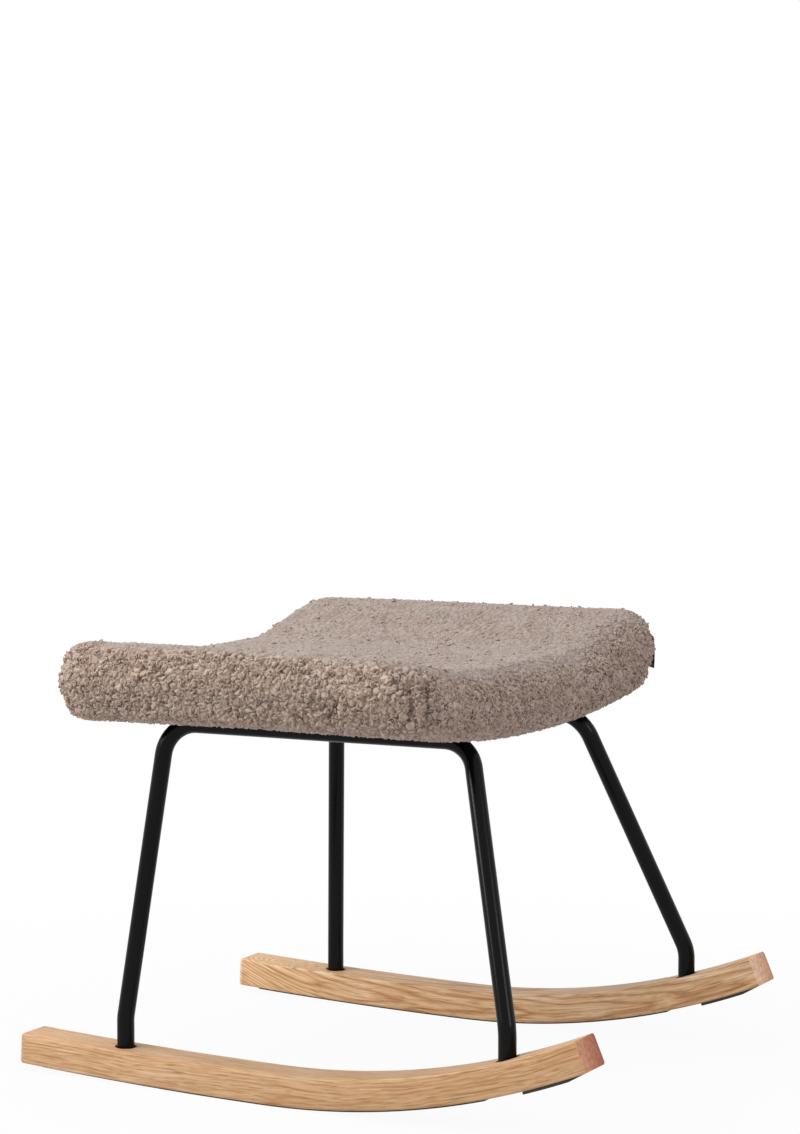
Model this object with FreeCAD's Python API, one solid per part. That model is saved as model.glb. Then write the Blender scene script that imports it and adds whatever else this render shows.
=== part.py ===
"""Rocking footstool: two bent wooden rockers, two inverted-U tube frames and a dished fleece seat.

Millimetres. +X runs along the rockers towards their raised front ends, +Y points to the left
side, +Z is up. The stool stands at rest on the plane z = 0, with its seat level.
"""
import FreeCAD, Part
import math
import os

Vec = FreeCAD.Vector

# Rockers
rocker_front = 290.0          # front end of the underside, along X
rocker_rear = -291.5          # rear end of the underside, along X
rocker_height = 28.0          # square to the curve
rocker_width = 37.5
rocker_track = 383.0          # middle of one rocker to middle of the other
rest_x = -27.0                # where the flat tail meets the curve, under the balance point
curve_radius = 790.0          # underside, ahead of rest_x
tail_radius = 5830.0          # underside, behind rest_x
rocker_edge_round = 2.0
rocker_tail_round = 7.0

# Strips under the rockers
strip_thickness = 1.2
strip_inset = 2.0             # from each side of the rocker
long_strip_front = 193.0
long_strip_rear = -267.0
end_strip_rear = 229.0
end_strip_front = 281.0
end_strip_thickness = 2.5
end_strip_taper = 10.0
end_strip_lip = 0.6           # left at the thin tip

# Side frame tube
tube_diameter = 16.0
tube_wall = 1.5
rear_foot_x = -184.5
front_foot_x = 206.5
rear_corner_x = -161.0        # where the top bar's line meets the leg's line
rear_corner_y = 154.0
front_corner_x = 129.6
front_corner_y = 112.5
top_bend_radius = 32.0
foot_bend_radius = 38.0
foot_bend_height = 27.0       # above the rocker's top, where the leg's line meets the upright

# Joint of leg and rocker
socket_depth = 17.0
socket_clearance = 1.8        # all round the tube
plug_length = 16.0
plug_bolt_margin = 3.0        # plug left above the bolt's end
bolt_diameter = 6.0
bolt_clearance = 0.5
counterbore_diameter = 14.0
counterbore_depth = 6.0
head_diameter = 10.5
head_height = 3.3
head_dome = 2.0               # rounding of the head's rim
drive_diameter = 4.6
drive_depth = 2.0
washer_diameter = 12.0
washer_thickness = 1.2

# Seat
seat_front = 160.0
seat_rear = -235.0
seat_half_width = 240.0
seat_corner_radius = 32.0
seat_bottom_z = 327.0         # underside of the dust cover at the middle of the stool
seat_bottom_radius = 1400.0   # dish of the underside, about an axis along X
seat_thickness = 52.5         # from seat_bottom_z to the bottom of the dish in the upper face
seat_top_rise = 33.0          # upper face, from the middle to the sides
seat_crown = 2.0              # upper face, along the stool
shoulder_radius = 20.0
lower_radius = 16.0
side_swell = 3.0
end_radius_share = 0.45       # of the shoulder and lower radii, at the two end faces
fleece_thickness = 6.0
fleece_wrap = 24.0            # turned under the shell, from its edge
fleece_under = 6.5            # hangs this much below the shell

# Shell, dust cover and patch
shell_thickness = 12.0
shell_inset = 8.0             # shell's edge inside the seat's outline
least_corner_radius = 12.0    # of the dust cover and of the opening it covers
cloth_thickness = 0.8
cloth_lap_gap = 0.3
patch_height = 31.0
patch_lift = 31.0             # above seat_bottom_z
patch_thickness = 1.0
patch_from = 32.0             # degrees from +X round the corner
patch_to = 84.0

# Straps and seat fasteners
strap_width = 30.0
strap_thickness = 4.0
rear_strap_x = -117.0
front_strap_x = 77.0
seat_bolt_y = 80.0
seat_gap = 0.3                # straps and top bars to the dust cover
tee_flange_diameter = 19.0
tee_flange_thickness = 1.3
tee_barrel_diameter = 8.0
tee_barrel_length = 10.0
fit = 0.05                    # running fit of a shank in a bore

# Staples of the dust cover
staple_crown = 10.0
staple_wire = 0.9
staple_leg = 5.0
staple_spacing = 42.0
staple_edge = 9.0             # from the dust cover's edge

past = 60.0                   # cutting shapes run at least this far past what they cut

tube_radius = tube_diameter / 2
rocker_base = strip_thickness             # the strip is what touches the floor
rocker_low_y = (rocker_track - rocker_width) / 2
strip_low_y = rocker_low_y + strip_inset
strip_width = rocker_width - 2 * strip_inset
dish_axis_z = seat_bottom_z + seat_bottom_radius
seat_top_z = seat_bottom_z + seat_thickness
patch_low_z = seat_bottom_z + patch_lift
strap_top_radius = seat_bottom_radius + seat_gap
strap_bottom_radius = strap_top_radius + strap_thickness
shell_low_radius = seat_bottom_radius - cloth_thickness
shell_high_radius = shell_low_radius - shell_thickness
along_x = Vec(1, 0, 0)
upwards = Vec(0, 0, 1)


def curve_radius_at(x):
    return curve_radius if x >= rest_x else tail_radius


def underside_point(x, offset=0.0):
    """Point of the rocker's underside curve above x, moved square to it by offset."""
    radius = curve_radius_at(x)
    angle = math.asin((x - rest_x) / radius)
    centre = Vec(rest_x, 0, rocker_base + radius)
    return centre + Vec(math.sin(angle), 0, -math.cos(angle)) * (radius - offset)


def rocker_z(x, offset=0.0):
    """Height of the underside curve, moved square to it by offset, straight above x."""
    radius = curve_radius_at(x)
    return rocker_base + radius - math.sqrt((radius - offset) ** 2 - (x - rest_x) ** 2)


def curve_edges(rear, front, offset):
    """The tail's and the curve's arcs from rear to front, moved square to them by offset."""
    edges = []
    for low, high in ((rear, min(front, rest_x)), (max(rear, rest_x), front)):
        if low < high:
            ends = [underside_point(x, offset) for x in (low, (low + high) / 2, high)]
            edges.append(Part.Arc(*ends).toShape())
    return edges


def band(rear, front, low_offset, high_offset, low_y, width):
    """Solid between two parallel curves along the rocker."""
    low = curve_edges(rear, front, low_offset)
    high = curve_edges(rear, front, high_offset)
    rear_end = Part.makeLine(low[0].Vertexes[0].Point, high[0].Vertexes[0].Point)
    front_end = Part.makeLine(low[-1].Vertexes[-1].Point, high[-1].Vertexes[-1].Point)
    face = Part.Face(Part.Wire(Part.__sortEdges__(low + high + [rear_end, front_end])))
    face.translate(Vec(0, low_y, 0))
    return face.extrude(Vec(0, width, 0))


def mirrored(shape):
    """The same shape on the other side of the stool."""
    return shape.mirror(Vec(0, 0, 0), Vec(0, 1, 0))


def upright(radius, length, x, y, z):
    return Part.makeCylinder(radius, length, Vec(x, y, z), upwards)


def feet():
    """Foot positions of one frame: x, and height of the rocker's top there."""
    return [(x, rocker_z(x, rocker_height)) for x in (rear_foot_x, front_foot_x)]


def rocker():
    """Left rocker, with a socket, a bolt hole and a counterbore at each leg."""
    y = rocker_track / 2
    body = band(rocker_rear, rocker_front, 0, rocker_height, rocker_low_y, rocker_width)
    tail_edges = []
    for edge in body.Edges:
        box = edge.BoundBox
        if box.YLength > rocker_width / 2 and box.XMax < rocker_rear + rocker_height / 2:
            tail_edges.append(edge)
    body = body.makeFillet(rocker_tail_round, tail_edges)
    level_edges = [e for e in body.Edges if e.BoundBox.YLength < rocker_edge_round]
    body = body.makeFillet(rocker_edge_round, level_edges)
    for x, top in feet():
        bolt_seat = rocker_z(x) + counterbore_depth
        body = body.cut(upright(tube_radius + socket_clearance, past, x, y, top - socket_depth))
        body = body.cut(upright((bolt_diameter + bolt_clearance) / 2, past, x, y, top - past))
        body = body.cut(upright(counterbore_diameter / 2, past, x, y, bolt_seat - past))
    return body


def long_strip():
    front, rear = long_strip_front, long_strip_rear
    return band(rear, front, -strip_thickness, 0, strip_low_y, strip_width)


def end_strip():
    """Thicker strip under the raised front, its tip ground to a taper."""
    front, rear = end_strip_front, end_strip_rear
    body = band(rear, front, -end_strip_thickness, 0, strip_low_y, strip_width)
    tip = underside_point(front, -end_strip_lip)
    heel = underside_point(front - end_strip_taper, -end_strip_thickness)
    below = underside_point(front + end_strip_taper, -3 * end_strip_thickness)
    wedge = Part.Face(Part.makePolygon([tip, heel, below, tip]))
    wedge.translate(Vec(0, rocker_low_y, 0))
    return body.cut(wedge.extrude(Vec(0, rocker_width, 0)))


def bar_corner(x, y):
    """Corner of the tube's centre line, as high as the seat's underside lets the bar go."""
    reach = strap_top_radius + tube_radius
    return Vec(x, y, dish_axis_z - math.sqrt(reach ** 2 - y ** 2))


def frame_points():
    """Corners of the left frame's centre line, from the rear foot to the front foot."""
    y = rocker_track / 2
    (rear_x, rear_top), (front_x, front_top) = feet()
    return [
        Vec(rear_x, y, rear_top - socket_depth),
        Vec(rear_x, y, rear_top + foot_bend_height),
        bar_corner(rear_corner_x, rear_corner_y),
        bar_corner(front_corner_x, front_corner_y),
        Vec(front_x, y, front_top + foot_bend_height),
        Vec(front_x, y, front_top - socket_depth),
    ]


def bent_path(points, radii):
    """Wire through straight runs joined by arcs that touch both runs."""
    edges = []
    start = points[0]
    for before, corner, after, radius in zip(points, points[1:], points[2:], radii):
        back = (before - corner).normalize()
        on = (after - corner).normalize()
        turn = math.pi - back.getAngle(on)
        length = radius * math.tan(turn / 2)
        arc_start = corner + back * length
        arc_end = corner + on * length
        bisector = (back + on).normalize()
        middle = corner + bisector * (radius / math.cos(turn / 2) - radius)
        edges.append(Part.makeLine(start, arc_start))
        edges.append(Part.Arc(arc_start, middle, arc_end).toShape())
        start = arc_end
    edges.append(Part.makeLine(start, points[-1]))
    return Part.Wire(edges)


def frame_rod(radius):
    """Solid rod along the left frame's centre line."""
    points = frame_points()
    path = bent_path(points, [foot_bend_radius, top_bend_radius, top_bend_radius, foot_bend_radius])
    circle = Part.Wire(Part.makeCircle(radius, points[0], points[1] - points[0]))
    return path.makePipeShell([circle], True, False)


def side_frame():
    return frame_rod(tube_radius).cut(frame_rod(tube_radius - tube_wall))


def leg_plugs():
    parts = []
    for side in (1, -1):
        for x, top in feet():
            place = (x, side * rocker_track / 2, top - socket_depth)
            plug = upright(tube_radius - tube_wall, plug_length, *place)
            parts.append(plug.cut(upright(bolt_diameter / 2 + fit, plug_length, *place)))
    return Part.makeCompound(parts)


def bolt(x, y, seat_z, shank_length):
    """Domed-head bolt standing upright: its head hangs below seat_z."""
    low = seat_z - head_height
    head = upright(head_diameter / 2, head_height, x, y, low)
    rim = [e for e in head.Edges if e.BoundBox.ZMax < low + fit]
    head = head.makeFillet(head_dome, rim)
    head = head.cut(upright(drive_diameter / 2, drive_depth, x, y, low))
    return head.fuse(upright(bolt_diameter / 2, shank_length, x, y, seat_z))


def washer(x, y, low_z):
    disc = upright(washer_diameter / 2, washer_thickness, x, y, low_z)
    return disc.cut(upright((bolt_diameter + bolt_clearance) / 2, washer_thickness, x, y, low_z))


def rocker_bolts_and_washers():
    bolts = []
    washers = []
    for side in (1, -1):
        for x, top in feet():
            y = side * rocker_track / 2
            washer_low = rocker_z(x) + counterbore_depth - washer_thickness
            bolt_top = top - socket_depth + plug_length - plug_bolt_margin
            washers.append(washer(x, y, washer_low))
            bolts.append(bolt(x, y, washer_low, bolt_top - washer_low))
    return Part.makeCompound(bolts), Part.makeCompound(washers)


def dish_z(y, radius):
    """Height of a surface concentric with the seat's dished underside."""
    return dish_axis_z - math.sqrt(radius ** 2 - y ** 2)


def rounding(radius, reach):
    """How far a rounded edge has fallen away, reach in from the end of the piece."""
    if reach >= radius:
        return 0.0
    return radius - math.sqrt(radius ** 2 - (radius - reach) ** 2)


def seat_section(x, grow, low_drop):
    """Outline of the seat across the stool at x, moved outwards by grow."""
    front = seat_front + grow
    rear = seat_rear - grow
    reach = min(front - x, x - rear)
    shoulder = shoulder_radius + grow
    lower = lower_radius + min(grow, 0.0) / 2
    half = seat_half_width + grow - rounding(seat_corner_radius + grow, reach)
    sink = rounding(shoulder, reach)
    lift = rounding(lower, reach)
    share = end_radius_share + (1 - end_radius_share) * min(1.0, reach / shoulder)
    shoulder *= share
    lower *= share
    middle_x = (front + rear) / 2
    crown = seat_crown * (1 - ((x - middle_x) / (front - middle_x)) ** 2)
    rise = seat_top_rise * (half / seat_half_width) ** 2
    top_y = half - shoulder
    top_middle = seat_top_z + crown + grow - sink
    top_edge = top_middle + rise * (top_y / half) ** 2
    side_top = top_edge + rise * (1 - (top_y / half) ** 2) - shoulder
    low_y = half - lower
    low_middle = dish_z(0, seat_bottom_radius) - low_drop + lift
    low_edge = dish_z(low_y, seat_bottom_radius) - low_drop + lift
    side_low = low_edge + lower
    bend = math.sqrt(0.5)
    shoulder_drop = (top_edge - side_top) * (1 - bend)
    lower_climb = lower * (1 - bend)

    def arc(*places):
        return Part.Arc(*[Vec(x, y, z) for y, z in places]).toShape()

    edges = [arc((low_y, low_edge), (low_y + lower * bend, low_edge + lower_climb), (half, side_low))]
    edges.append(arc((half, side_low), (half + side_swell, (side_low + side_top) / 2), (half, side_top)))
    edges.append(arc((half, side_top), (top_y + shoulder * bend, top_edge - shoulder_drop), (top_y, top_edge)))
    edges.append(arc((top_y, top_edge), (0, top_middle), (-top_y, top_edge)))
    edges.append(arc((-top_y, top_edge), (-top_y - shoulder * bend, top_edge - shoulder_drop), (-half, side_top)))
    edges.append(arc((-half, side_top), (-half - side_swell, (side_low + side_top) / 2), (-half, side_low)))
    edges.append(arc((-half, side_low), (-low_y - lower * bend, low_edge + lower_climb), (-low_y, low_edge)))
    edges.append(arc((-low_y, low_edge), (0, low_middle), (low_y, low_edge)))
    return Part.Wire(edges)


def seat_form(grow, low_drop):
    """Crowned, dished pad with rounded corners, lofted along the stool."""
    front = seat_front + grow
    rear = seat_rear - grow
    middle_x = (front + rear) / 2
    corner = seat_corner_radius + grow
    reaches = [corner * share for share in (0, 0.03, 0.12, 0.28, 0.5, 0.75, 1)]
    reaches += [corner + (middle_x - rear - corner) * share for share in (0.17, 0.47)]
    stations = [rear + r for r in reaches] + [middle_x] + [front - r for r in reversed(reaches)]
    return Part.makeLoft([seat_section(x, grow, low_drop) for x in stations], True, False)


def plan_block(inset, low_z, high_z):
    """Upright block with the seat's outline from above, inset all round."""
    front = seat_front - inset
    rear = seat_rear + inset
    half = seat_half_width - inset
    block = Part.makeBox(front - rear, 2 * half, high_z - low_z, Vec(rear, -half, low_z))
    uprights = [e for e in block.Edges if e.BoundBox.ZLength > (high_z - low_z) / 2]
    return block.makeFillet(max(seat_corner_radius - inset, least_corner_radius), uprights)


def dish_cylinder(radius, low_x, length):
    return Part.makeCylinder(radius, length, Vec(low_x, 0, dish_axis_z), along_x)


def dished_plate(inset, outer_radius, inner_radius):
    """Plate between two dish surfaces, cut to the seat's outline inset all round."""
    length = seat_front - seat_rear
    block = plan_block(inset, seat_bottom_z - past, seat_bottom_z + past)
    plate = block.common(dish_cylinder(outer_radius, seat_rear, length))
    return plate.cut(dish_cylinder(inner_radius, seat_rear, length))


def seat_fastener_places():
    """x, y and height of the strap's underside at each seat bolt."""
    z = dish_z(seat_bolt_y, strap_bottom_radius)
    return [(x, y, z) for x in (rear_strap_x, front_strap_x) for y in (seat_bolt_y, -seat_bolt_y)]


def strap(x):
    """Flat bar curved to the shell, its ends coped to the two top bars."""
    share = (x - rear_corner_x) / (front_corner_x - rear_corner_x)
    bar_y = rear_corner_y + share * (front_corner_y - rear_corner_y)
    low_x = x - strap_width / 2
    block = Part.makeBox(strap_width, 2 * bar_y, 2 * past, Vec(low_x, -bar_y, seat_bottom_z - past))
    body = block.common(dish_cylinder(strap_bottom_radius, low_x, strap_width))
    body = body.cut(dish_cylinder(strap_top_radius, low_x, strap_width))
    bar = frame_rod(tube_radius)
    body = body.cut(bar).cut(mirrored(bar))
    body = max(body.Solids, key=lambda solid: solid.Volume)
    hole_radius = (bolt_diameter + bolt_clearance) / 2
    for hole_x, hole_y, z in seat_fastener_places():
        body = body.cut(upright(hole_radius, 2 * past, hole_x, hole_y, z - past))
    return body


def tee_nuts():
    parts = []
    top = dish_z(seat_bolt_y, shell_high_radius)
    for x, y, z in seat_fastener_places():
        flange = upright(tee_flange_diameter / 2, tee_flange_thickness, x, y, top)
        barrel = upright(tee_barrel_diameter / 2, tee_barrel_length, x, y, top - tee_barrel_length)
        bore = upright(bolt_diameter / 2 + fit, 2 * past, x, y, top - past)
        parts.append(flange.fuse(barrel).cut(bore))
    return Part.makeCompound(parts)


def seat_bolts_and_washers():
    """Bolts up through the straps. Each washer bears on the low edge of the strap's slope."""
    bolts = []
    washers = []
    washer_low = dish_z(seat_bolt_y - washer_diameter / 2, strap_bottom_radius) - washer_thickness
    for x, y, z in seat_fastener_places():
        washers.append(washer(x, y, washer_low))
        length = washer_thickness + strap_thickness + cloth_thickness + shell_thickness
        bolts.append(bolt(x, y, washer_low, length))
    return Part.makeCompound(bolts), Part.makeCompound(washers)


def staple(x, y, lengthways):
    """Wire staple driven up through the dust cover into the shell."""
    low = dish_z(abs(y), seat_bottom_radius) - staple_wire
    reach = (staple_crown - staple_wire) / 2
    wire = Vec(staple_wire, staple_wire, staple_leg + staple_wire)
    step = along_x * reach if lengthways else Vec(0, reach, 0)
    corner = Vec(x, y, low) - Vec(staple_wire, staple_wire, 0) / 2
    legs = [Part.makeBox(wire.x, wire.y, wire.z, corner + step * side) for side in (1, -1)]
    crown = wire + step * 2
    return Part.makeBox(crown.x, crown.y, staple_wire, corner - step).fuse(legs)


def staples():
    inset = shell_inset + fleece_wrap + staple_edge
    front = seat_front - inset
    rear = seat_rear + inset
    half = seat_half_width - inset
    along = int((front - rear) / staple_spacing)
    across = int(2 * half / staple_spacing)
    parts = []
    for i in range(along):
        x = rear + (i + 0.5) * (front - rear) / along
        parts += [staple(x, half, True), staple(x, -half, True)]
    for i in range(across):
        y = -half + (i + 0.5) * 2 * half / across
        parts += [staple(front, y, False), staple(rear, y, False)]
    return parts


def shell_and_dust_cover(staple_list):
    shell = dished_plate(shell_inset, shell_low_radius, shell_high_radius)
    cloth_inset = shell_inset + fleece_wrap + cloth_lap_gap
    cloth = dished_plate(cloth_inset, seat_bottom_radius, shell_low_radius)
    for x, y, z in seat_fastener_places():
        shell = shell.cut(upright(tee_barrel_diameter / 2 + fit, 2 * past, x, y, z - past))
        cloth = cloth.cut(upright((bolt_diameter + bolt_clearance) / 2, 2 * past, x, y, z - past))
    return shell.cut(staple_list), cloth.cut(staple_list)


def foam_and_cover(shell, nuts):
    """Foam on top of the shell, and the fleece round foam and shell."""
    inside = seat_form(-fleece_thickness, -cloth_thickness)
    length = seat_front - seat_rear
    foam = inside.common(dish_cylinder(shell_high_radius, seat_rear, length)).cut(nuts)
    opening = plan_block(shell_inset + fleece_wrap, seat_bottom_z - past, seat_bottom_z + past)
    opening = opening.cut(dish_cylinder(shell_high_radius, seat_rear, length))
    cover = seat_form(0, fleece_under).cut(inside).cut(shell).cut(opening)
    return foam, cover


def seat_patch():
    """Plain patch that follows the seat's surface round its front left corner."""
    centre = Vec(seat_front - seat_corner_radius, seat_half_width - seat_corner_radius, patch_low_z)
    outline = [centre]
    for degrees in (patch_from, (patch_from + patch_to) / 2, patch_to):
        angle = math.radians(degrees)
        outline.append(centre + Vec(math.cos(angle), math.sin(angle), 0) * 3 * seat_corner_radius)
    wedge = Part.Face(Part.makePolygon(outline + [centre])).extrude(Vec(0, 0, patch_height))
    skin = seat_form(patch_thickness, fleece_under).cut(seat_form(0, fleece_under))
    return skin.common(wedge)


shapes = {}
shapes["rocker_left"] = rocker()
shapes["glide_strip_left"] = long_strip()
shapes["end_strip_left"] = end_strip()
shapes["side_frame_left"] = side_frame()
for name in list(shapes):
    shapes[name.replace("left", "right")] = mirrored(shapes[name])
shapes["leg_plugs"] = leg_plugs()
shapes["rocker_bolts"], shapes["rocker_bolt_washers"] = rocker_bolts_and_washers()

shapes["seat_strap_rear"] = strap(rear_strap_x)
shapes["seat_strap_front"] = strap(front_strap_x)
shapes["tee_nuts"] = tee_nuts()
shapes["seat_bolts"], shapes["seat_bolt_washers"] = seat_bolts_and_washers()

staple_list = staples()
shapes["staples"] = Part.makeCompound(staple_list)
shapes["seat_shell"], shapes["dust_cover"] = shell_and_dust_cover(staple_list)
shapes["seat_foam"], shapes["seat_cover"] = foam_and_cover(shapes["seat_shell"], shapes["tee_nuts"])
shapes["seat_patch"] = seat_patch()

os.makedirs("parts", exist_ok=True)
for name, shape in shapes.items():
    shape.exportStep("parts/" + name + ".step")
    print(name, "solids", len(shape.Solids), "valid", shape.isValid(), "volume", round(shape.Volume))
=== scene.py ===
"""Rocking footstool: a fleece seat on two bent steel tube frames that stand on curved ash rockers.

Metres. +X runs along the rockers to their raised front ends, +Y to the left side, +Z up.
"""
import bmesh
import bpy
import math
import numpy as np
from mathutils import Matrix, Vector


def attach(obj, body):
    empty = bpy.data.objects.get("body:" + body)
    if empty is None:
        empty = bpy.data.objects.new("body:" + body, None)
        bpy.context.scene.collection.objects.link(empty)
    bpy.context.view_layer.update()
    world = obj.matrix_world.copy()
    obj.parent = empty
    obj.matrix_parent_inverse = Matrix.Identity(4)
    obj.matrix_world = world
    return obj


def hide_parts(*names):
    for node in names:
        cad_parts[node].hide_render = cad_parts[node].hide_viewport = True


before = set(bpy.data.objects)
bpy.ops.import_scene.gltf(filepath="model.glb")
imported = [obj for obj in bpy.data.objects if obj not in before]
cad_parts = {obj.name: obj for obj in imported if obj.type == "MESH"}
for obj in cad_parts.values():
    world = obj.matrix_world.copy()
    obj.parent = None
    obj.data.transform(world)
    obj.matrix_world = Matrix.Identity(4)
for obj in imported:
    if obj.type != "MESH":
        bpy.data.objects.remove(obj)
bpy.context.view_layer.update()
scene = bpy.context.scene
scene.view_settings.view_transform = "Standard"


# Camera
# A long lens a little above the seat, turned to the stool's right side and its raised front.
camera_place = Vector((1.3173, -2.3951, 0.6707))
camera_direction = Vector((-0.4815, 0.8732, -0.0748))
focal_pixels = 2942.3
photo_height = 1134

camera = bpy.data.objects.new("camera", bpy.data.cameras.new("camera"))
camera.data.sensor_width = 36
camera.data.lens = focal_pixels / photo_height * camera.data.sensor_width
camera.data.clip_end = 50
camera.location = camera_place
camera.rotation_euler = camera_direction.to_track_quat("-Z", "Y").to_euler()
scene.collection.objects.link(camera)
scene.camera = camera


# Studio
# A white paper floor that fades into a white room, with soft boxes overhead, at the left and behind.
def hex_colour(text):
    """Linear RGBA of an sRGB hex colour."""
    levels = [int(text[i:i + 2], 16) / 255 for i in (0, 2, 4)]
    return tuple(c / 12.92 if c <= 0.04045 else ((c + 0.055) / 1.055) ** 2.4 for c in levels) + (1.0,)


def add_node(tree, kind, inputs=None, **settings):
    """Adds a node. Each input is a value, or the socket that is linked to it."""
    node = tree.nodes.new(kind)
    for name, value in settings.items():
        setattr(node, name, value)
    for name, value in (inputs or {}).items():
        if isinstance(value, bpy.types.NodeSocket):
            tree.links.new(value, node.inputs[name])
        else:
            node.inputs[name].default_value = value
    return node


def ramp_node(tree, factor, stops, interpolation="LINEAR"):
    """A colour ramp with the given (position, hex colour) stops."""
    node = add_node(tree, "ShaderNodeValToRGB", {"Fac": factor})
    node.color_ramp.interpolation = interpolation
    while len(node.color_ramp.elements) < len(stops):
        node.color_ramp.elements.new(0.5)
    for element, (position, colour) in zip(node.color_ramp.elements, stops):
        element.position = position
        element.color = hex_colour(colour)
    return node


def new_material(name):
    """A material with a Principled shader wired to its output: (material, tree, shader)."""
    material = bpy.data.materials.new(name)
    material.use_nodes = True
    tree = material.node_tree
    tree.nodes.clear()
    shader = add_node(tree, "ShaderNodeBsdfPrincipled")
    add_node(tree, "ShaderNodeOutputMaterial", {"Surface": shader.outputs[0]})
    return material, tree, shader


def new_piece(name, points, faces, material, smooth=True):
    """A mesh object from its corner points and faces, at the origin."""
    mesh = bpy.data.meshes.new(name)
    mesh.from_pydata([tuple(p) for p in points], [], faces)
    mesh.validate()
    mesh.materials.append(material)
    mesh.polygons.foreach_set("use_smooth", [smooth] * len(mesh.polygons))
    piece = bpy.data.objects.new(name, mesh)
    scene.collection.objects.link(piece)
    return piece


def soft_box(name, place, target, size, watts, colour):
    lamp = bpy.data.lights.new(name, "AREA")
    lamp.size = size
    lamp.energy = watts
    lamp.color = hex_colour(colour)[:3]
    box = bpy.data.objects.new(name, lamp)
    box.location = place
    box.rotation_euler = (Vector(target) - Vector(place)).to_track_quat("-Z", "Y").to_euler()
    scene.collection.objects.link(box)


def background_rays(tree):
    """1 for a ray that comes from the camera, a glossy surface or a clear one, else 0."""
    path = add_node(tree, "ShaderNodeLightPath")
    glossy = add_node(tree, "ShaderNodeMath", {0: path.outputs["Is Camera Ray"], 1: path.outputs["Is Glossy Ray"]},
                      operation="MAXIMUM")
    clear = add_node(tree, "ShaderNodeMath", {0: glossy.outputs[0], 1: path.outputs["Is Transmission Ray"]},
                     operation="MAXIMUM")
    return clear.outputs[0]


room_white = "ffffff"
room = bpy.data.worlds.new("room")
room.use_nodes = True
room.node_tree.nodes.clear()
room_seen = add_node(room.node_tree, "ShaderNodeBackground", {"Color": hex_colour(room_white), "Strength": 1.0})
room_light = add_node(room.node_tree, "ShaderNodeBackground", {"Color": hex_colour("f6f7ff"), "Strength": 0.5})
room_mix = add_node(room.node_tree, "ShaderNodeMixShader", {0: background_rays(room.node_tree), 1: room_light.outputs[0], 2: room_seen.outputs[0]})
add_node(room.node_tree, "ShaderNodeOutputWorld", {"Surface": room_mix.outputs[0]})
scene.world = room

paper = bpy.data.materials.new("studio_paper")
paper.use_nodes = True
paper.node_tree.nodes.clear()
paper_place = add_node(paper.node_tree, "ShaderNodeTexCoord")
paper_length = add_node(paper.node_tree, "ShaderNodeVectorMath", {0: paper_place.outputs["Object"]}, operation="LENGTH")
paper_fade = add_node(paper.node_tree, "ShaderNodeMapRange", {"Value": paper_length.outputs["Value"], "From Min": 0.35, "From Max": 0.95, "To Min": 0.945, "To Max": 1.0})
paper_seen = add_node(paper.node_tree, "ShaderNodeMath", {0: paper_fade.outputs[0], 1: background_rays(paper.node_tree)}, operation="MULTIPLY")
paper_matte = add_node(paper.node_tree, "ShaderNodeBsdfDiffuse", {"Color": hex_colour("cccccc")})
paper_glow = add_node(paper.node_tree, "ShaderNodeEmission", {"Color": hex_colour(room_white), "Strength": 1.0})
paper_mix = add_node(paper.node_tree, "ShaderNodeMixShader", {0: paper_seen.outputs[0], 1: paper_matte.outputs[0], 2: paper_glow.outputs[0]})
add_node(paper.node_tree, "ShaderNodeOutputMaterial", {"Surface": paper_mix.outputs[0]})

floor_reach = 20.0
floor_corners = [(x * floor_reach, y * floor_reach, 0) for x, y in ((-1, -1), (1, -1), (1, 1), (-1, 1))]
studio_floor = new_piece("studio_floor", floor_corners, [(0, 1, 2, 3)], paper)

seat_middle = (-0.04, 0.0, 0.33)
soft_box("overhead_box", (-0.5, -0.6, 2.4), seat_middle, 1.8, 34, "ffffff")
soft_box("left_box", (-1.9, -1.9, 1.5), seat_middle, 1.2, 47, "fff8f0")
soft_box("right_box", (2.4, -0.6, 1.3), seat_middle, 0.9, 13, "fff1f2")


# Rockers
# Each is one bar of ash, 28 by 37.5 mm, sawn to a nearly straight tail and a curved front,
# with its long edges eased, its tail corners rounded and its ends left as oiled end grain.
rocker_front = 0.290
rocker_rear = -0.2915
rocker_height = 0.028
rocker_width = 0.0375
rocker_track = 0.383
rest_x = -0.027
curve_radius = 0.790
tail_radius = 5.830
strip_thickness = 0.0012
rocker_edge_round = 0.0022
rocker_tail_round = 0.0032
rocker_tail_corner = 0.0045
rocker_front_round = 0.0012
front_face_bulge = 0.0016
tail_strip = 0.0043
tail_along = tail_radius * math.asin((rocker_rear - rest_x) / tail_radius)


def rocker_point(x, offset):
    """x and z of the rocker's underside curve at x, moved square to it by offset."""
    radius = curve_radius if x >= rest_x else tail_radius
    angle = math.asin((x - rest_x) / radius)
    reach = radius - offset
    return rest_x + reach * math.sin(angle), strip_thickness + radius - reach * math.cos(angle)


def fallen(radius, reach):
    """How far a rounded edge has fallen away at this reach in from the end."""
    if reach >= radius:
        return 0.0
    return radius - math.sqrt(max(0.0, radius ** 2 - (radius - reach) ** 2))


def rounded_outline(width, height, radius, steps):
    """Corner points of a rounded rectangle about the origin, anticlockwise."""
    outline = []
    for corner, (sx, sy) in enumerate(((1, 1), (-1, 1), (-1, -1), (1, -1))):
        for i in range(steps + 1):
            angle = (corner + i / steps) * math.pi / 2
            outline.append((
                sx * (width / 2 - radius) + radius * math.cos(angle),
                sy * (height / 2 - radius) + radius * math.sin(angle),
            ))
    return outline


def close_rings(rings, count):
    """Quads between rings of count points each, and a face over the first and the last."""
    faces = [tuple(range(count))[::-1]]
    for ring in range(rings - 1):
        start = ring * count
        for i in range(count):
            after = (i + 1) % count
            faces.append((start + i, start + after, start + count + after, start + count + i))
    faces.append(tuple(range((rings - 1) * count, rings * count)))
    return faces


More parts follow.
